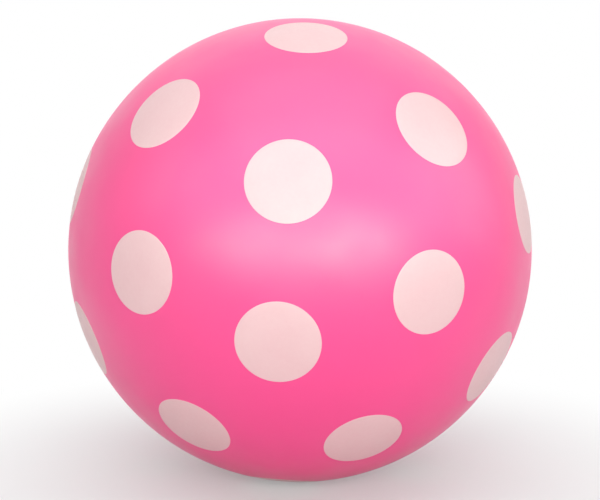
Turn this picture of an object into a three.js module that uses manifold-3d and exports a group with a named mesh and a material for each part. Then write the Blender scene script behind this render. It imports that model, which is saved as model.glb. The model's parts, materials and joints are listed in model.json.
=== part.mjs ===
// Inflatable play ball: a hollow moulded vinyl shell, printed with dots and closed by a plug valve.
// Millimetres, +Z up, origin at the centre of the ball.
// The front of the ball faces -Y, and the valve looks straight back along +Y.
import * as THREE from 'three';
import { mergeVertices } from 'three/addons/utils/BufferGeometryUtils.js';
import Module from 'manifold-3d';

const wasm = await Module();
wasm.setup();

// Shell
const BALL_DIAMETER = 230;
const WALL = 0.6;
const BOSS_THICKNESS = 2.4; // the wall round the valve
const BOSS_MARGIN = 4; // how far the thick wall reaches past the flange of the valve seat
const BOSS_FADE = 14; // the stretch over which the thick wall thins out

// Valve plug, a tapered stopper with a low head
const PLUG_HEAD_DIAMETER = 13;
const PLUG_HEAD_THICKNESS = 1.8;
const PLUG_HEAD_EDGE = 0.5; // rounding of the rim
const PLUG_SHANK_DIAMETER = 5.6; // under the head
const PLUG_TIP_DIAMETER = 4.8;
const PLUG_TIP_ROUNDING = 1.4;
const PLUG_SHANK_LENGTH = 15;
const RIB_COUNT = 3; // sealing rings round the shank
const RIB_PITCH = 3;
const RIB_START = 3.2; // from the head to the first ring
const RIB_WIDTH = 1;
const RIB_CREST = 0.4; // width of the flat on top of each ring
const RIB_HEIGHT = 0.15;

// Valve seat, a flanged tube set into the shell
const HEAD_CLEARANCE = 0.5; // round the head of the plug
const SHANK_CLEARANCE = 0.3; // round the shank
const SEAT_GAP = 0.3; // between faces that touch on the real ball
const BORE_LEAD = 0.6; // chamfer at the mouth of the bore
const COLLAR_WALL = 3; // round the recess for the head
const NOTCH_RADIUS = 3; // scoop in the collar, for a fingernail under the head
const NOTCH_DEPTH = 1.2;
const FLANGE_WIDTH = 6.5; // past the collar
const FLANGE_THICKNESS = 1.6;
const STEM_WALL = 2.2; // of the tube at the flange
const STEM_END_WALL = 1.5;
const STEM_OVERRUN = 3; // how far the tube runs on past the tip of the plug
const STEM_FILLET = 1.5;

// Printed dots, in rings about a pole on the front and again, point for point, about the opposite pole
const DOTS_PER_RING = 5;
const INNER_DOT_DIAMETER = 35.8; // the pole dot and the inner ring, measured along the surface
const OUTER_DOT_DIAMETER = 37.5; // the middle and outer rings
const INNER_RING_ANGLE = 34; // degrees from the pole
const MIDDLE_RING_ANGLE = 60.2;
const OUTER_RING_ANGLE = 77.5;
const POLE_DOT_DRIFT = 1.1; // how far the pole dot is printed off its pole
const PRINT_TURN = -4.7; // degrees, the pole to the left of straight ahead
const PRINT_TILT = 14.8; // degrees, the pole below straight ahead
const PRINT_TWIST = 3.6; // degrees, the rings round their pole
const INK_THICKNESS = 0.2;
const INK_GAP = 0.1; // least distance from the ink to the shell

// Fineness of the round faces
const SHELL_SIDES = 52;
const QUARTER_STEPS = SHELL_SIDES / 4;
const FADE_STEPS = 4;
const VALVE_SIDES = 24;
const DOT_SIDES = 24;
const DOT_STEPS = 2;
const NOTCH_SIDES = 16;

// Colours and finishes
const PINK_VINYL = { color: 0xf9529a, roughness: 0.35, metalness: 0 };
const WHITE_INK = { color: 0xfbe3e7, roughness: 0.45, metalness: 0 };
const WHITE_VINYL = { color: 0xf3eeec, roughness: 0.4, metalness: 0 };

const ballRadius = BALL_DIAMETER / 2;
const headRadius = PLUG_HEAD_DIAMETER / 2;
const shankRadius = PLUG_SHANK_DIAMETER / 2;
const tipRadius = PLUG_TIP_DIAMETER / 2;
const recessRadius = headRadius + HEAD_CLEARANCE;
const collarRadius = recessRadius + COLLAR_WALL;
const portRadius = collarRadius + SEAT_GAP;
const flangeRadius = collarRadius + FLANGE_WIDTH;

// Heights along the valve's axis, from the centre of the ball
const headUnderside = ballRadius - PLUG_HEAD_THICKNESS;
const recessFloor = headUnderside - SEAT_GAP;
const plugTip = headUnderside - PLUG_SHANK_LENGTH;
const stemEnd = plugTip - STEM_OVERRUN;

function point(radius, height) {
  return new THREE.Vector2(radius, height);
}

// Height of a sphere about the centre of the ball, at a distance from the valve's axis.
function sphereHeight(sphereRadius, fromAxis) {
  return Math.sqrt(sphereRadius ** 2 - fromAxis ** 2);
}

// Latitude of such a point, where the valve is the pole.
function latitude(sphereRadius, fromAxis) {
  return Math.acos(fromAxis / sphereRadius);
}

// Arc of a sphere about the centre of the ball, from one latitude to another.
function sphereArc(sphereRadius, from, to, steps) {
  return new THREE.EllipseCurve(0, 0, sphereRadius, sphereRadius, from, to, from > to).getPoints(steps);
}

// Arc of a sphere between two distances from the valve's axis.
function sphereBand(sphereRadius, fromAxis, toAxis, steps) {
  return sphereArc(sphereRadius, latitude(sphereRadius, fromAxis), latitude(sphereRadius, toAxis), steps);
}

// Meridian of a sphere from the pole opposite the valve, by way of the equator, to a latitude.
function meridian(sphereRadius, to) {
  const steps = Math.round(QUARTER_STEPS * to / (Math.PI / 2));
  return [
    ...sphereArc(sphereRadius, -Math.PI / 2, 0, QUARTER_STEPS),
    ...sphereArc(sphereRadius, 0, to, steps).slice(1),
  ];
}

// Rounded corner between two points of a profile.
function rounded(start, corner, end) {
  return new THREE.QuadraticBezierCurve(start, corner, end).getPoints(3);
}

// Closed solid with the form of a geometry, ready to be cut.
function solidOf(geometry) {
  const bare = geometry.clone();
  bare.deleteAttribute('normal');
  bare.deleteAttribute('uv');
  const merged = mergeVertices(bare);
  const vertProperties = Float32Array.from(merged.getAttribute('position').array);
  const triVerts = Uint32Array.from(merged.getIndex().array);
  return new wasm.Manifold(new wasm.Mesh({ numProp: 3, vertProperties, triVerts }));
}

// The first geometry with the second cut out of it.
function cutOut(geometry, cutter) {
  const { vertProperties, triVerts } = solidOf(geometry).subtract(solidOf(cutter)).getMesh();
  const result = new THREE.BufferGeometry();
  result.setAttribute('position', new THREE.BufferAttribute(vertProperties, 3));
  result.setIndex(new THREE.BufferAttribute(triVerts, 1));
  return result;
}

function mesh(name, geometry, finish) {
  const result = new THREE.Mesh(geometry, new THREE.MeshStandardMaterial(finish));
  result.name = name;
  return result;
}

// Hollow ball in one skin, thickened inside round the port for the valve seat.
function ballShell() {
  const bossRadius = flangeRadius + BOSS_MARGIN;
  const fadeRadius = bossRadius + BOSS_FADE;
  const bossInside = ballRadius - BOSS_THICKNESS;
  const wallInside = ballRadius - WALL;
  const fade = [];
  for (let step = 1; step < FADE_STEPS; step += 1) {
    const share = step / FADE_STEPS;
    const inside = THREE.MathUtils.lerp(bossInside, wallInside, THREE.MathUtils.smoothstep(share, 0, 1));
    const fromAxis = THREE.MathUtils.lerp(bossRadius, fadeRadius, share);
    fade.push(point(fromAxis, sphereHeight(inside, fromAxis)));
  }
  const profile = [
    ...meridian(ballRadius, latitude(ballRadius, portRadius)),
    ...sphereBand(bossInside, portRadius, bossRadius, 2),
    ...fade,
    ...meridian(wallInside, latitude(wallInside, fadeRadius)).reverse(),
  ];
  return mesh('ball_shell', new THREE.LatheGeometry(profile, SHELL_SIDES), PINK_VINYL);
}

// Collar flush with the ball, flange behind the shell, and a tapered tube that grips the plug.
// A scoop in the collar lets a fingernail under the head of the plug.
function valveSeat() {
  const flangeFace = ballRadius - BOSS_THICKNESS - SEAT_GAP;
  const flangeBack = flangeFace - FLANGE_THICKNESS;
  const boreRadius = shankRadius + SHANK_CLEARANCE;
  const boreEndRadius = tipRadius + SHANK_CLEARANCE;
  const stemRadius = boreRadius + STEM_WALL;
  const stemEndRadius = boreEndRadius + STEM_END_WALL;
  const filletRadius = stemRadius + STEM_FILLET;
  const stemTop = sphereHeight(flangeBack, filletRadius);
  const profile = [
    point(boreEndRadius, stemEnd),
    point(boreEndRadius, plugTip),
    point(boreRadius, recessFloor - BORE_LEAD),
    point(boreRadius + BORE_LEAD, recessFloor),
    point(recessRadius, recessFloor),
    ...sphereBand(ballRadius, recessRadius, collarRadius, 1),
    ...sphereBand(flangeFace, collarRadius, flangeRadius, 2),
    ...sphereBand(flangeBack, flangeRadius, filletRadius, 2),
    ...rounded(
      point(filletRadius, stemTop),
      point(stemRadius, stemTop),
      point(stemRadius, stemTop - STEM_FILLET),
    ).slice(1),
    point(stemEndRadius, stemEnd),
    point(boreEndRadius, stemEnd),
  ];
  const seat = new THREE.LatheGeometry(profile.reverse(), VALVE_SIDES);
  const scoop = new THREE.SphereGeometry(NOTCH_RADIUS, NOTCH_SIDES, NOTCH_SIDES / 2);
  scoop.translate(recessRadius, sphereHeight(ballRadius, recessRadius) + NOTCH_RADIUS - NOTCH_DEPTH, 0);
  return mesh('valve_seat', cutOut(seat, scoop), PINK_VINYL);
}

// Stopper with a head that lies flush with the ball and a shank that narrows towards its tip.
function valvePlug() {
  const shankAt = (height) =>
    THREE.MathUtils.mapLinear(height, plugTip, headUnderside, tipRadius, shankRadius);
  const ribs = [];
  for (let rib = RIB_COUNT - 1; rib >= 0; rib -= 1) {
    const middle = headUnderside - RIB_START - rib * RIB_PITCH;
    const section = [[-RIB_WIDTH, 0], [-RIB_CREST, RIB_HEIGHT], [RIB_CREST, RIB_HEIGHT], [RIB_WIDTH, 0]];
    for (const [width, rise] of section) {
      const height = middle + width / 2;
      ribs.push(point(shankAt(height) + rise, height));
    }
  }
  const tipShoulder = plugTip + PLUG_TIP_ROUNDING;
  const rimTop = sphereHeight(ballRadius, headRadius);
  const profile = [
    point(0, plugTip),
    ...rounded(
      point(tipRadius - PLUG_TIP_ROUNDING, plugTip),
      point(tipRadius, plugTip),
      point(shankAt(tipShoulder), tipShoulder),
    ),
    ...ribs,
    point(shankRadius, headUnderside),
    point(headRadius, headUnderside),
    ...rounded(
      point(headRadius, rimTop - PLUG_HEAD_EDGE),
      point(headRadius, rimTop),
      point(headRadius - PLUG_HEAD_EDGE, sphereHeight(ballRadius, headRadius - PLUG_HEAD_EDGE)),
    ),
    ...sphereBand(ballRadius, headRadius - PLUG_HEAD_EDGE, 0, 2).slice(1),
  ];
  return mesh('valve_plug', new THREE.LatheGeometry(profile, VALVE_SIDES), WHITE_VINYL);
}

// Round film of ink that follows the ball, centred on +Y.
function dotGeometry(diameter) {
  const reach = diameter / 2 / ballRadius;
  const edge = Math.PI / 2 - reach;
  const flatOfFacet = Math.cos(reach / DOT_STEPS / 2) * Math.cos(Math.PI / DOT_SIDES * Math.sin(reach));
  const underside = (ballRadius + INK_GAP) / flatOfFacet;
  const profile = [
    ...sphereArc(underside, Math.PI / 2, edge, DOT_STEPS),
    ...sphereArc(underside + INK_THICKNESS, edge, Math.PI / 2, DOT_STEPS),
  ];
  return new THREE.LatheGeometry(profile, DOT_SIDES);
}

// A dot at an angle from the front pole and at a longitude round it, both in radians.
function printedDot(name, diameter, angle, longitude) {
  const dot = mesh(name, dotGeometry(diameter), WHITE_INK);
  dot.rotation.set(Math.PI - angle, -longitude, 0, 'YXZ');
  return dot;
}

// Both halves of the print: the rear half is the front half carried straight through the centre.
function printedDots() {
  const print = new THREE.Group();
  const radians = THREE.MathUtils.degToRad;
  print.rotation.set(radians(PRINT_TILT), radians(PRINT_TWIST), radians(PRINT_TURN), 'ZXY');
  const pitch = 2 * Math.PI / DOTS_PER_RING;
  const rings = [
    { name: 'inner', angle: radians(INNER_RING_ANGLE), start: 0, diameter: INNER_DOT_DIAMETER },
    { name: 'middle', angle: radians(MIDDLE_RING_ANGLE), start: pitch / 2, diameter: OUTER_DOT_DIAMETER },
    { name: 'outer', angle: radians(OUTER_RING_ANGLE), start: 0, diameter: OUTER_DOT_DIAMETER },
  ];
  const poleAngle = POLE_DOT_DRIFT / ballRadius;
  print.add(printedDot('front_pole_dot', INNER_DOT_DIAMETER, poleAngle, 0));
  print.add(printedDot('rear_pole_dot', INNER_DOT_DIAMETER, Math.PI - poleAngle, Math.PI));
  for (const ring of rings) {
    for (let number = 1; number <= DOTS_PER_RING; number += 1) {
      const longitude = ring.start + (number - 1) * pitch;
      const { name, diameter, angle } = ring;
      print.add(printedDot(`front_${name}_dot_${number}`, diameter, angle, longitude));
      print.add(printedDot(`rear_${name}_dot_${number}`, diameter, Math.PI - angle, longitude + Math.PI));
    }
  }
  return print;
}

const ball = new THREE.Group();
ball.add(ballShell(), valveSeat(), valvePlug(), printedDots());

export default ball;
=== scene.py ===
"""Looks of an inflatable play ball: pink moulded vinyl, printed white dots and a plug valve at the back.

Everything is in metres in the shared frame: +Z up, the front of the ball towards -Y, the valve along +Y.
"""

import json
import logging
import math
from collections.abc import Sequence
from dataclasses import dataclass
from enum import Enum

import bmesh
import bpy
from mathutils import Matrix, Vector


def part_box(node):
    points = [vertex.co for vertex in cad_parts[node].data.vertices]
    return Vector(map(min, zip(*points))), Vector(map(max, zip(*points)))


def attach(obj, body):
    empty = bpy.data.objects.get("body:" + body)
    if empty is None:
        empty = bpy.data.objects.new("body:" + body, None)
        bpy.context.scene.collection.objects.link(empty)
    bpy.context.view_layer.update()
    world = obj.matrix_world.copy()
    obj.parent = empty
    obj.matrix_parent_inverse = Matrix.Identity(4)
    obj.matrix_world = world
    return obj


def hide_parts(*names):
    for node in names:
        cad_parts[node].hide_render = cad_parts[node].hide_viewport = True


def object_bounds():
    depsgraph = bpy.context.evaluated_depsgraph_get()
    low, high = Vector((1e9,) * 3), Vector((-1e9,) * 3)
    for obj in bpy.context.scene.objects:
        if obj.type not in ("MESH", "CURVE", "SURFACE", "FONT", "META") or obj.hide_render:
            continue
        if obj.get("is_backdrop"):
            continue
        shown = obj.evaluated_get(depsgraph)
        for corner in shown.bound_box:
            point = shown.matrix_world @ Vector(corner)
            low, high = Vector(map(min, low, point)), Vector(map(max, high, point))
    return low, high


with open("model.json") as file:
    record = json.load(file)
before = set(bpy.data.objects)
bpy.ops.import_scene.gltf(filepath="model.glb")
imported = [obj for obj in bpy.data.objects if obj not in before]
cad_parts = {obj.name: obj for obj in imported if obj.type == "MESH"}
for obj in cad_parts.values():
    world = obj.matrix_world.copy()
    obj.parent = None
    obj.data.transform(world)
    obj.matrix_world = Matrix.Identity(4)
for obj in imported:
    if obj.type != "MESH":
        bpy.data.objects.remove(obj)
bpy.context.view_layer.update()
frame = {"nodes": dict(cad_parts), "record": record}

log = logging.getLogger("play_ball")

MM = 0.001
MERGE_DISTANCE = 0.002 * MM
VALVE_AXIS = (0.0, 1.0, 0.0)
SHARP_FOLD = math.radians(40)  # edges that fold more than this are shaded as edges
ROUNDED_FOLD = math.radians(35)  # edges that fold more than this are rounded
NOISE_LOW = 0.3  # a noise texture seldom goes below this
NOISE_HIGH = 0.7  # and seldom above this


class Body(Enum):
    """The two bodies that the pieces ride on."""

    BALL = "ball"
    PLUG = "plug"


def linear(colour: str) -> tuple[float, float, float, float]:
    """Turn an sRGB hex colour into linear red, green, blue and alpha.

    Args:
        colour: Six hex digits, such as "f9368a".

    Returns:
        The linear colour, fully opaque.
    """
    channels = []
    for start in (0, 2, 4):
        share = int(colour[start:start + 2], 16) / 255
        channels.append(share / 12.92 if share <= 0.04045 else ((share + 0.055) / 1.055) ** 2.4)
    return (*channels, 1.0)


def add_node(tree: bpy.types.NodeTree, kind: str, inputs: dict | None = None, **settings) -> bpy.types.Node:
    """Add a shader node with its settings and what goes into it.

    Args:
        tree: The node tree of a material or of the world.
        kind: The node's Blender type.
        inputs: Input name or number to a socket that it is linked from, or to a plain value.
        **settings: The node's own properties.

    Returns:
        The new node.
    """
    node = tree.nodes.new(kind)
    for name, value in settings.items():
        setattr(node, name, value)
    for name, value in (inputs or {}).items():
        if isinstance(value, bpy.types.NodeSocket):
            tree.links.new(value, node.inputs[name])
        else:
            node.inputs[name].default_value = value
    return node


def empty_material(name: str) -> bpy.types.Material:
    """Make a node material with no nodes in it."""
    material = bpy.data.materials.new(name)
    material.use_nodes = True
    material.node_tree.nodes.clear()
    return material


def make_object(name: str, shape: bmesh.types.BMesh) -> bpy.types.Object:
    """Close a mesh, turn its faces outwards and link it as a smooth object at the origin.

    Args:
        name: The object's name.
        shape: The mesh, which is used up.

    Returns:
        The linked object.
    """
    bmesh.ops.remove_doubles(shape, verts=shape.verts, dist=MERGE_DISTANCE)
    bmesh.ops.recalc_face_normals(shape, faces=shape.faces)
    mesh = bpy.data.meshes.new(name)
    shape.to_mesh(mesh)
    shape.free()
    mesh.shade_smooth()
    mesh.set_sharp_from_angle(angle=SHARP_FOLD)
    made = bpy.data.objects.new(name, mesh)
    bpy.context.scene.collection.objects.link(made)
    return made


def mount(piece: bpy.types.Object, material: bpy.types.Material, body: Body, node: str) -> None:
    """Dress a piece and let it stand for its solid in the frame.

    Args:
        piece: The object to dress.
        material: Its finish.
        body: The body that it rides on.
        node: The solid that it replaces.
    """
    piece.data.materials.append(material)
    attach(piece, body.value)
    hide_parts(node)
    log.info("%s rides on %s with %d faces", piece.name, body.value, len(piece.data.polygons))


def round_edges(shape: bmesh.types.BMesh, offset: float) -> None:
    """Round every folded edge of a turned shape.

    Args:
        shape: The mesh to change.
        offset: Width of the rounding on each side of the edge.
    """
    folded = [
        edge for edge in shape.edges
        if len(edge.link_faces) == 2 and edge.calc_face_angle() > ROUNDED_FOLD
    ]
    bmesh.ops.bevel(
        shape, geom=folded, offset=offset, affect="EDGES", segments=3, profile=0.5, material=-1,
        clamp_overlap=True,
    )


def lathe(profile: Sequence[tuple[float, float]], sides: int) -> bmesh.types.BMesh:
    """Spin a profile about the valve's axis.

    Args:
        profile: Points of distance from the axis and height along it. It closes on itself or on the axis.
        sides: Number of steps in the full turn.

    Returns:
        The turned mesh, with its doubles merged and its faces outwards.
    """
    shape = bmesh.new()
    corners = [shape.verts.new((distance, height, 0.0)) for distance, height in profile]
    lines = [shape.edges.new(pair) for pair in zip(corners, corners[1:])]
    bmesh.ops.spin(
        shape, geom=corners + lines, cent=(0, 0, 0), axis=VALVE_AXIS, angle=math.tau,
        steps=sides, use_merge=True,
    )
    bmesh.ops.remove_doubles(shape, verts=shape.verts, dist=MERGE_DISTANCE)
    bmesh.ops.recalc_face_normals(shape, faces=shape.faces)
    return shape


def sphere_band(radius: float, start: float, end: float, steps: int) -> list[tuple[float, float]]:
    """Give profile points along a sphere about the centre of the ball.

    Args:
        radius: The sphere's radius.
        start: Distance of the first point from the valve's axis.
        end: Distance of the last point from the valve's axis.
        steps: Number of stretches between them.

    Returns:
        The points, each a distance from the axis and a height along it.
    """
    distances = [start + (end - start) * step / steps for step in range(steps + 1)]
    return [(distance, math.sqrt(radius ** 2 - distance ** 2)) for distance in distances]


@dataclass(frozen=True)
class Vinyl:
    """Soft PVC, cast in a polished mould: an even, satin skin with a faint orange peel.

    The pigment lies in slow clouds, and hands leave the gloss a little uneven. Where the two halves of the
    mould met, a hair-thin line runs round the ball.
    """

    name: str
    colour: str
    thick_colour: str
    roughness: float = 0.36
    polish_spread: float = 0.06
    ior: float = 1.53
    cloud_size: float = 60 * MM
    smudge_size: float = 24 * MM
    peel_size: float = 3.2 * MM
    peel_depth: float = 0.006 * MM
    parting_width: float = 0.0
    parting_height: float = 0.05 * MM

    def material(self) -> bpy.types.Material:
        """Build the node material."""
        made = empty_material(self.name)
        tree = made.node_tree
        place = add_node(tree, "ShaderNodeTexCoord").outputs["Object"]
        clouds = add_node(
            tree, "ShaderNodeTexNoise", {"Vector": place, "Scale": 1 / self.cloud_size, "Detail": 3.0},
        )
        pigment = add_node(
            tree, "ShaderNodeMix",
            {"Factor": clouds.outputs["Fac"], "A": linear(self.colour), "B": linear(self.thick_colour)},
            data_type="RGBA",
        )
        smudges = add_node(
            tree, "ShaderNodeTexNoise", {"Vector": place, "Scale": 1 / self.smudge_size, "Detail": 4.0},
        )
        polish = add_node(
            tree, "ShaderNodeMapRange",
            {
                "Value": smudges.outputs["Fac"], "From Min": NOISE_LOW, "From Max": NOISE_HIGH,
                "To Min": self.roughness - self.polish_spread, "To Max": self.roughness + self.polish_spread,
            },
        )
        peel = add_node(
            tree, "ShaderNodeTexNoise", {"Vector": place, "Scale": 1 / self.peel_size, "Detail": 1.0},
        )
        relief = add_node(
            tree, "ShaderNodeBump",
            {"Height": peel.outputs["Fac"], "Distance": self.peel_depth, "Strength": 1.0},
        )
        if self.parting_width:
            relief = self.parting_line(tree, place, relief)
        skin = add_node(
            tree, "ShaderNodeBsdfPrincipled",
            {
                "Base Color": pigment.outputs["Result"], "Roughness": polish.outputs["Result"],
                "IOR": self.ior, "Normal": relief.outputs["Normal"],
            },
        )
        add_node(tree, "ShaderNodeOutputMaterial", {"Surface": skin.outputs["BSDF"]})
        return made

    def parting_line(
        self, tree: bpy.types.NodeTree, place: bpy.types.NodeSocket, relief: bpy.types.Node,
    ) -> bpy.types.Node:
        """Raise the line where the halves of the mould met, half-way between front and back.

        Args:
            tree: The material's nodes.
            place: Where a point lies on the ball.
            relief: The bump under the line.

        Returns:
            The bump with the line on it.
        """
        apart = add_node(tree, "ShaderNodeSeparateXYZ", {"Vector": place})
        off_line = add_node(tree, "ShaderNodeMath", {0: apart.outputs["Y"]}, operation="ABSOLUTE")
        line = add_node(
            tree, "ShaderNodeMapRange",
            {
                "Value": off_line.outputs["Value"], "From Min": 0.0, "From Max": self.parting_width / 2,
                "To Min": 1.0, "To Max": 0.0,
            },
            interpolation_type="SMOOTHSTEP",
        )
        return add_node(
            tree, "ShaderNodeBump",
            {
                "Height": line.outputs["Result"], "Distance": self.parting_height, "Strength": 1.0,
                "Normal": relief.outputs["Normal"],
            },
        )


@dataclass(frozen=True)
class PrintingInk:
    """White vinyl ink, pad printed: a thin film that lets a breath of the pink through.

    It dries a little unevenly, so fine mottles show where it is thinner, and it is duller than the vinyl.
    """

    name: str
    colour: str
    thin_colour: str
    roughness: float = 0.44
    roughness_spread: float = 0.05
    ior: float = 1.5
    pool_size: float = 14 * MM
    mottle_size: float = 1.6 * MM
    mottle_share: float = 0.4
    mottle_depth: float = 0.004 * MM

    def material(self) -> bpy.types.Material:
        """Build the node material."""
        made = empty_material(self.name)
        tree = made.node_tree
        place = add_node(tree, "ShaderNodeTexCoord").outputs["Object"]
        pools = add_node(
            tree, "ShaderNodeTexNoise", {"Vector": place, "Scale": 1 / self.pool_size, "Detail": 2.0},
        )
        mottle = add_node(
            tree, "ShaderNodeTexNoise", {"Vector": place, "Scale": 1 / self.mottle_size, "Detail": 3.0},
        )
        thinness = add_node(
            tree, "ShaderNodeMix",
            {"Factor": self.mottle_share, "A": pools.outputs["Fac"], "B": mottle.outputs["Fac"]},
            data_type="FLOAT",
        )
        cover = add_node(
            tree, "ShaderNodeMix",
            {"Factor": thinness.outputs["Result"], "A": linear(self.colour), "B": linear(self.thin_colour)},
            data_type="RGBA",
        )
        dullness = add_node(
            tree, "ShaderNodeMapRange",
            {
                "Value": mottle.outputs["Fac"], "From Min": NOISE_LOW, "From Max": NOISE_HIGH,
                "To Min": self.roughness - self.roughness_spread,
                "To Max": self.roughness + self.roughness_spread,
            },
        )
        relief = add_node(
            tree, "ShaderNodeBump",
            {"Height": mottle.outputs["Fac"], "Distance": self.mottle_depth, "Strength": 1.0},
        )
        film = add_node(
            tree, "ShaderNodeBsdfPrincipled",
            {
                "Base Color": cover.outputs["Result"], "Roughness": dullness.outputs["Result"],
                "IOR": self.ior, "Normal": relief.outputs["Normal"],
            },
        )
        add_node(tree, "ShaderNodeOutputMaterial", {"Surface": film.outputs["BSDF"]})
        return made


# Soft PVC cast in a polished mould: a bright pink skin with a soft, hazy gloss.
PINK_VINYL = Vinyl("moulded_pink_vinyl", colour="fa5094", thick_colour="f64a8f", parting_width=0.9 * MM)
# The same PVC in a thicker piece: a slightly deeper pink with a duller gloss.
SEAT_VINYL = Vinyl("moulded_valve_vinyl", colour="f5468d", thick_colour="ee4087", roughness=0.42)
# Firmer white PVC: a warm white with a dull gloss.
PLUG_VINYL = Vinyl("moulded_white_vinyl", colour="f1ecea", thick_colour="ebe4e2", roughness=0.4)
# Thin white ink over pink vinyl: a blush white that is almost matt.
WHITE_INK = PrintingInk("white_printing_ink", colour="ebcaca", thin_colour="e5bbbe")


@dataclass
class BallShell:
    """The hollow skin of the ball, with the round port for its valve."""

    radius: float
    port_radius: float
    wall: float = 0.6 * MM
    fineness: int = 7

    def build(self) -> bpy.types.Object:
        """Make the sphere, cut the port and give the skin its wall."""
        shape = bmesh.new()
        bmesh.ops.create_icosphere(shape, subdivisions=self.fineness, radius=self.radius)
        port_height = math.sqrt(self.radius ** 2 - self.port_radius ** 2)
        cut = bmesh.ops.bisect_plane(
            shape, geom=[*shape.verts, *shape.edges, *shape.faces],
            plane_co=(0, port_height, 0), plane_no=VALVE_AXIS, clear_outer=True,
        )
        for vert in cut["geom_cut"]:
            if isinstance(vert, bmesh.types.BMVert):
                vert.co *= self.radius / vert.co.length
        shell = make_object("ball_skin", shape)
        wall = shell.modifiers.new("wall", "SOLIDIFY")
        wall.thickness = self.wall
        wall.offset = -1.0
        return shell

    def dress(self, shell: bpy.types.Object) -> None:
        """Give the skin its vinyl and its place in the frame."""
        mount(shell, PINK_VINYL.material(), Body.BALL, "ball_shell")


@dataclass
class PrintedDots:
    """The films of ink on the ball, one for each printed dot of the frame."""

    ball_radius: float
    film: float = 0.06 * MM
    sunk: float = 0.04 * MM
    edge: float = 0.05 * MM
    sides: int = 96
    rings: int = 14

    def nodes(self) -> list[str]:
        """List the frame's solids that are printed in ink."""
        return [part["node"] for part in frame["record"]["subparts"] if part["material_slot"] == "white_ink"]

    def place_of(self, node: str) -> tuple[Vector, float]:
        """Find where a dot lies on the ball.

        Args:
            node: The name of the dot's solid.

        Returns:
            The direction of its middle from the centre of the ball, and the angle out to its edge.
        """
        directions = [vert.co.normalized() for vert in frame["nodes"][node].data.vertices]
        middle = sum(directions, Vector()).normalized()
        return middle, max(middle.angle(direction) for direction in directions)

    def build(self, node: str) -> bpy.types.Object:
        """Turn one film about its own middle, then swing it to its place on the ball.

        Args:
            node: The name of the dot's solid.

        Returns:
            The film as an object.
        """
        middle, reach = self.place_of(node)
        shape = bmesh.new()
        top = self.ball_radius + self.film
        bottom = self.ball_radius - self.sunk
        for radius in (top, bottom):
            start = shape.verts.new((0, 0, radius))
            bmesh.ops.spin(
                shape, geom=[start], cent=(0, 0, 0), axis=(1, 0, 0), angle=reach, steps=self.rings,
            )
        rim = sorted(shape.verts, key=lambda vert: abs(vert.co.y))[-2:]
        shape.edges.new(rim)
        bmesh.ops.spin(
            shape, geom=[*shape.verts, *shape.edges], cent=(0, 0, 0), axis=(0, 0, 1), angle=math.tau,
            steps=self.sides, use_merge=True,
        )
        bmesh.ops.remove_doubles(shape, verts=shape.verts, dist=MERGE_DISTANCE)
        bmesh.ops.recalc_face_normals(shape, faces=shape.faces)
        round_edges(shape, self.edge)
        swing = Vector((0, 0, 1)).rotation_difference(middle).to_matrix().to_4x4()
        bmesh.ops.transform(shape, matrix=swing, verts=shape.verts)
        return make_object(f"ink_{node}", shape)

    def build_all(self) -> None:
        """Print every dot in the same ink."""
        ink = WHITE_INK.material()
        for node in self.nodes():
            mount(self.build(node), ink, Body.BALL, node)


# One sealing ring across: places along its width, and the share of its height there.
RIB_SECTION = ((-0.5, 0.0), (-0.2, 1.0), (0.2, 1.0), (0.5, 0.0))


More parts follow.
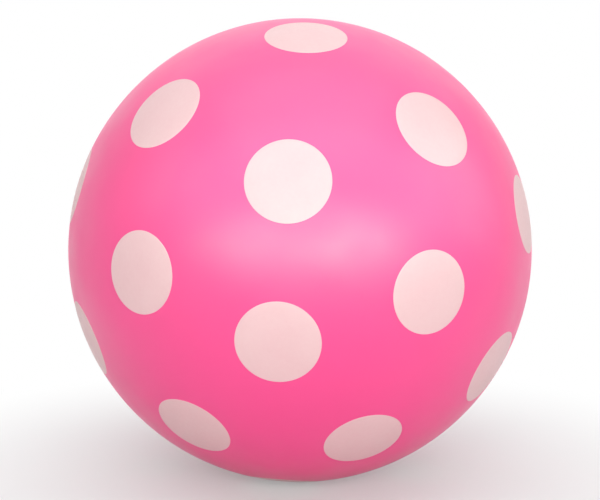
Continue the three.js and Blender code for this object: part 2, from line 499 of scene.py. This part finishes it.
@dataclass
class Valve:
    """The flanged seat in the skin and the ribbed plug that closes it."""

    ball_radius: float
    plug_box: tuple[Vector, Vector]
    seat_box: tuple[Vector, Vector]
    head_thickness: float = 1.8 * MM
    head_clearance: float = 0.5 * MM
    collar_wall: float = 3 * MM
    shank_radius: float = 2.8 * MM
    tip_radius: float = 2.4 * MM
    tip_rounding: float = 1.2 * MM
    shank_clearance: float = 0.3 * MM
    seat_gap: float = 0.3 * MM
    rib_count: int = 3
    rib_start: float = 3.2 * MM
    rib_pitch: float = 3 * MM
    rib_width: float = 1 * MM
    rib_height: float = 0.15 * MM
    flange_face_depth: float = 2.7 * MM
    flange_thickness: float = 1.6 * MM
    stem_wall: float = 2.2 * MM
    stem_end_wall: float = 1.5 * MM
    notch_radius: float = 3 * MM
    notch_depth: float = 1.2 * MM
    edge_rounding: float = 0.18 * MM
    sides: int = 128
    head_steps: int = 8
    collar_steps: int = 14
    flange_steps: int = 4

    @property
    def head_radius(self) -> float:
        """Radius of the plug's head, from the frame."""
        return self.plug_box[1].x

    @property
    def recess_radius(self) -> float:
        """Radius of the recess that the head lies in."""
        return self.head_radius + self.head_clearance

    @property
    def collar_radius(self) -> float:
        """Outer radius of the collar that shows in the skin."""
        return self.recess_radius + self.collar_wall

    @property
    def port_radius(self) -> float:
        """Radius of the skin's port round the collar."""
        return self.collar_radius + self.seat_gap

    @property
    def head_underside(self) -> float:
        """Height of the underside of the head along the valve's axis."""
        return self.ball_radius - self.head_thickness

    def build_plug(self) -> bpy.types.Object:
        """Turn the plug: a low domed head and a tapered shank with sealing rings."""
        tip = self.plug_box[0].y
        under = self.head_underside
        taper = (self.shank_radius - self.tip_radius) / (under - tip)
        tip_shoulder = 0.3 * self.tip_rounding
        ribs = []
        for rib in reversed(range(self.rib_count)):
            middle = under - self.rib_start - rib * self.rib_pitch
            for offset, rise in RIB_SECTION:
                height = middle + offset * self.rib_width
                ribs.append((self.tip_radius + taper * (height - tip) + rise * self.rib_height, height))
        profile = [
            (0.0, tip),
            (self.tip_radius - self.tip_rounding, tip),
            (self.tip_radius - tip_shoulder, tip + tip_shoulder),
            (self.tip_radius, tip + self.tip_rounding),
            *ribs,
            (self.shank_radius, under),
            (self.head_radius, under),
            *sphere_band(self.ball_radius, self.head_radius, 0.0, self.head_steps),
        ]
        shape = lathe(profile, self.sides)
        round_edges(shape, self.edge_rounding)
        return make_object("plug_stopper", shape)

    def build_seat(self) -> bpy.types.Object:
        """Turn the seat: collar, flange behind the skin and tapered tube, with a notch for a fingernail."""
        tip = self.plug_box[0].y
        end = self.seat_box[0].y
        floor = self.head_underside - self.seat_gap
        bore = self.shank_radius + self.shank_clearance
        bore_end = self.tip_radius + self.shank_clearance
        flange_radius = self.seat_box[1].x
        flange_face = self.ball_radius - self.flange_face_depth
        flange_back = flange_face - self.flange_thickness
        stem = bore + self.stem_wall
        profile = [
            (bore_end, end),
            (bore_end, tip),
            (bore, floor),
            (self.recess_radius, floor),
            *sphere_band(self.ball_radius, self.recess_radius, self.collar_radius, self.collar_steps),
            *sphere_band(flange_face, self.collar_radius, flange_radius, self.flange_steps),
            *sphere_band(flange_back, flange_radius, stem, self.flange_steps),
            (bore_end + self.stem_end_wall, end),
            (bore_end, end),
        ]
        shape = lathe(profile, self.sides)
        self.press_notch(shape)
        round_edges(shape, self.edge_rounding)
        return make_object("valve_collar", shape)

    def press_notch(self, shape: bmesh.types.BMesh) -> None:
        """Press a ball-shaped notch into the collar, beside the head of the plug.

        Args:
            shape: The turned seat, which is changed.
        """
        rim = math.sqrt(self.ball_radius ** 2 - self.recess_radius ** 2)
        middle = Vector((self.recess_radius, rim + self.notch_radius - self.notch_depth, 0.0))
        for vert in shape.verts:
            across = Vector((vert.co.x - middle.x, 0.0, vert.co.z)).length
            if across < self.notch_radius and vert.co.y > rim - self.notch_depth:
                reach = middle.y - math.sqrt(self.notch_radius ** 2 - across ** 2)
                vert.co.y = min(vert.co.y, reach)

    def build_all(self) -> None:
        """Build the seat and the plug, and dress them."""
        mount(self.build_seat(), SEAT_VINYL.material(), Body.BALL, "valve_seat")
        mount(self.build_plug(), PLUG_VINYL.material(), Body.PLUG, "valve_plug")


class LampRole(Enum):
    """What a lamp does for the ball."""

    KEY = "lights it and shows in its gloss"
    GLEAM = "only shows in its gloss"
    FILL = "only lights it"


@dataclass(frozen=True)
class Softbox:
    """One soft lamp of the studio, aimed at the ball.

    The azimuth is 0 on the camera's side and grows to the viewer's right, and both angles are in degrees.
    """

    name: str
    role: LampRole
    azimuth: float
    elevation: float
    distance: float
    width: float
    height: float
    brightness: float
    colour: str = "ffffff"

    def build(self) -> bpy.types.Object:
        """Hang the lamp and aim it."""
        azimuth = math.radians(self.azimuth)
        elevation = math.radians(self.elevation)
        towards = Vector((
            math.sin(azimuth) * math.cos(elevation),
            -math.cos(azimuth) * math.cos(elevation),
            math.sin(elevation),
        ))
        lamp = bpy.data.lights.new(self.name, "AREA")
        lamp.shape = "RECTANGLE"
        lamp.size = self.width
        lamp.size_y = self.height
        lamp.energy = self.brightness * math.pi * self.width * self.height
        lamp.color = linear(self.colour)[:3]
        hung = bpy.data.objects.new(self.name, lamp)
        hung.location = towards * self.distance
        hung.rotation_euler = (-towards).to_track_quat("-Z", "Y").to_euler()
        hung.visible_camera = False
        hung.visible_diffuse = self.role is not LampRole.GLEAM
        hung.visible_glossy = self.role is not LampRole.FILL
        bpy.context.scene.collection.objects.link(hung)
        return hung


# The lamps that make the band of light across the front are a little warmer than the rest.
WARM_WHITE = "fff6c8"

SOFTBOXES = (
    Softbox("front_softbox", LampRole.KEY, 6, 9, distance=1.2, width=1.9, height=0.6, brightness=3.85),
    Softbox("top_softbox", LampRole.KEY, 6, 68, distance=1.2, width=1.5, height=1.2, brightness=1.5),
    Softbox("side_softbox", LampRole.KEY, 80, 25, distance=1.2, width=0.7, height=0.7, brightness=0.8),
    Softbox(
        "front_strip", LampRole.GLEAM, 0, 7.5, distance=1.2, width=3.1, height=0.1, brightness=11,
        colour=WARM_WHITE,
    ),
    Softbox(
        "front_window", LampRole.GLEAM, 18, 7, distance=1.2, width=0.22, height=0.12, brightness=14,
        colour=WARM_WHITE,
    ),
    Softbox("haze_panel", LampRole.GLEAM, 6, 38, distance=1.2, width=3.6, height=1.2, brightness=1.9),
    Softbox("ceiling_panel", LampRole.GLEAM, 180, 74, distance=1.2, width=2.4, height=1.4, brightness=0.6),
    Softbox("right_panel", LampRole.GLEAM, 76, 22, distance=1.2, width=1.2, height=0.9, brightness=1.6),
    Softbox("left_panel", LampRole.GLEAM, -66, 29, distance=1.2, width=0.7, height=0.7, brightness=1.3),
    Softbox("left_softbox", LampRole.FILL, -80, 30, distance=1.2, width=0.9, height=0.9, brightness=0.6),
    Softbox("back_softbox", LampRole.FILL, 180, 30, distance=1.3, width=1.6, height=1.0, brightness=3.2),
)


@dataclass
class Studio:
    """A matt pale floor, a white surround and soft lamps."""

    floor_height: float
    floor_radius: float = 4.0
    floor_sides: int = 128
    floor_roughness: float = 0.9
    floor_colour: str = "d6d6d6"
    white_from: float = 0.05
    white_at: float = 0.3
    ambient: float = 0.05

    def seen_directly(self, tree: bpy.types.NodeTree) -> bpy.types.NodeSocket:
        """Tell rays that show the white surround, straight or mirrored, from rays that light the ball.

        Args:
            tree: The nodes of the floor or of the world.

        Returns:
            A socket that is 1 for camera, glossy and transmission rays.
        """
        path = add_node(tree, "ShaderNodeLightPath")
        mirrored = add_node(
            tree, "ShaderNodeMath",
            {0: path.outputs["Is Camera Ray"], 1: path.outputs["Is Glossy Ray"]},
            operation="MAXIMUM",
        )
        seen = add_node(
            tree, "ShaderNodeMath",
            {0: mirrored.outputs["Value"], 1: path.outputs["Is Transmission Ray"]},
            operation="MAXIMUM",
        )
        return seen.outputs["Value"]

    def floor_material(self) -> bpy.types.Material:
        """Matt white card near the ball, which keeps its shadow, and plain white further off."""
        made = empty_material("matt_white_card")
        tree = made.node_tree
        place = add_node(tree, "ShaderNodeTexCoord").outputs["Object"]
        far = add_node(tree, "ShaderNodeVectorMath", {0: place}, operation="LENGTH")
        fade = add_node(
            tree, "ShaderNodeMapRange",
            {"Value": far.outputs["Value"], "From Min": self.white_from, "From Max": self.white_at},
            interpolation_type="SMOOTHSTEP",
        )
        share = add_node(
            tree, "ShaderNodeMath",
            {0: fade.outputs["Result"], 1: self.seen_directly(tree)},
            operation="MULTIPLY",
        )
        card = add_node(
            tree, "ShaderNodeBsdfDiffuse",
            {"Color": linear(self.floor_colour), "Roughness": self.floor_roughness},
        )
        white = add_node(tree, "ShaderNodeEmission", {"Strength": 1.0})
        surface = add_node(
            tree, "ShaderNodeMixShader",
            {0: share.outputs["Value"], 1: card.outputs["BSDF"], 2: white.outputs["Emission"]},
        )
        add_node(tree, "ShaderNodeOutputMaterial", {"Surface": surface.outputs["Shader"]})
        return made

    def build_floor(self) -> None:
        """Lay the floor under the ball."""
        shape = bmesh.new()
        bmesh.ops.create_circle(shape, cap_ends=True, segments=self.floor_sides, radius=self.floor_radius)
        bmesh.ops.translate(shape, verts=shape.verts, vec=(0, 0, self.floor_height))
        floor = make_object("studio_floor", shape)
        floor.data.materials.append(self.floor_material())
        floor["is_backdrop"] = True

    def build_surround(self) -> None:
        """Make the world white to look at, and lower as a light."""
        world = bpy.data.worlds.new("white_surround")
        world.use_nodes = True
        tree = world.node_tree
        tree.nodes.clear()
        strength = add_node(
            tree, "ShaderNodeMath",
            {0: self.seen_directly(tree), 1: 1.0 - self.ambient, 2: self.ambient},
            operation="MULTIPLY_ADD",
        )
        surround = add_node(
            tree, "ShaderNodeBackground", {"Color": linear("ffffff"), "Strength": strength.outputs["Value"]},
        )
        add_node(tree, "ShaderNodeOutputWorld", {"Surface": surround.outputs["Background"]})
        bpy.context.scene.world = world

    def build_all(self) -> None:
        """Set up the floor, the surround and the lamps."""
        self.build_floor()
        self.build_surround()
        for softbox in SOFTBOXES:
            softbox.build()
        bpy.context.scene.view_settings.view_transform = "Standard"


@dataclass
class PhotoCamera:
    """The camera at the photograph's place: in front of the ball, looking slightly down at its middle."""

    ball_radius: float
    distance_in_radii: float = 4.6
    elevation: float = 5.0
    image_width: int = 600
    outline_pixels: float = 231.8  # radius of the ball's outline in the image
    sensor_width: float = 36.0

    @property
    def focal_pixels(self) -> float:
        """Focal length in pixels at which the ball's outline has its size."""
        return self.outline_pixels * math.sqrt(self.distance_in_radii ** 2 - 1)

    def build(self) -> None:
        """Place the camera and make it the scene's own."""
        elevation = math.radians(self.elevation)
        back = Vector((0.0, -math.cos(elevation), math.sin(elevation)))
        lens = bpy.data.cameras.new("photo_camera")
        lens.sensor_width = self.sensor_width
        lens.lens = self.focal_pixels * self.sensor_width / self.image_width
        camera = bpy.data.objects.new("photo_camera", lens)
        camera.location = back * self.ball_radius * self.distance_in_radii
        camera.rotation_euler = (-back).to_track_quat("-Z", "Y").to_euler()
        bpy.context.scene.collection.objects.link(camera)
        bpy.context.scene.camera = camera


def main() -> None:
    """Build the ball piece by piece, then the studio round it."""
    logging.basicConfig(level=logging.INFO, format="%(name)s: %(message)s")
    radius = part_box("ball_shell")[1].x
    PhotoCamera(radius).build()
    valve = Valve(radius, plug_box=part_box("valve_plug"), seat_box=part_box("valve_seat"))
    shell = BallShell(radius, valve.port_radius)
    shell.dress(shell.build())
    PrintedDots(radius).build_all()
    valve.build_all()
    Studio(floor_height=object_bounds()[0].z).build_all()


if __name__ == "__main__":
    main()
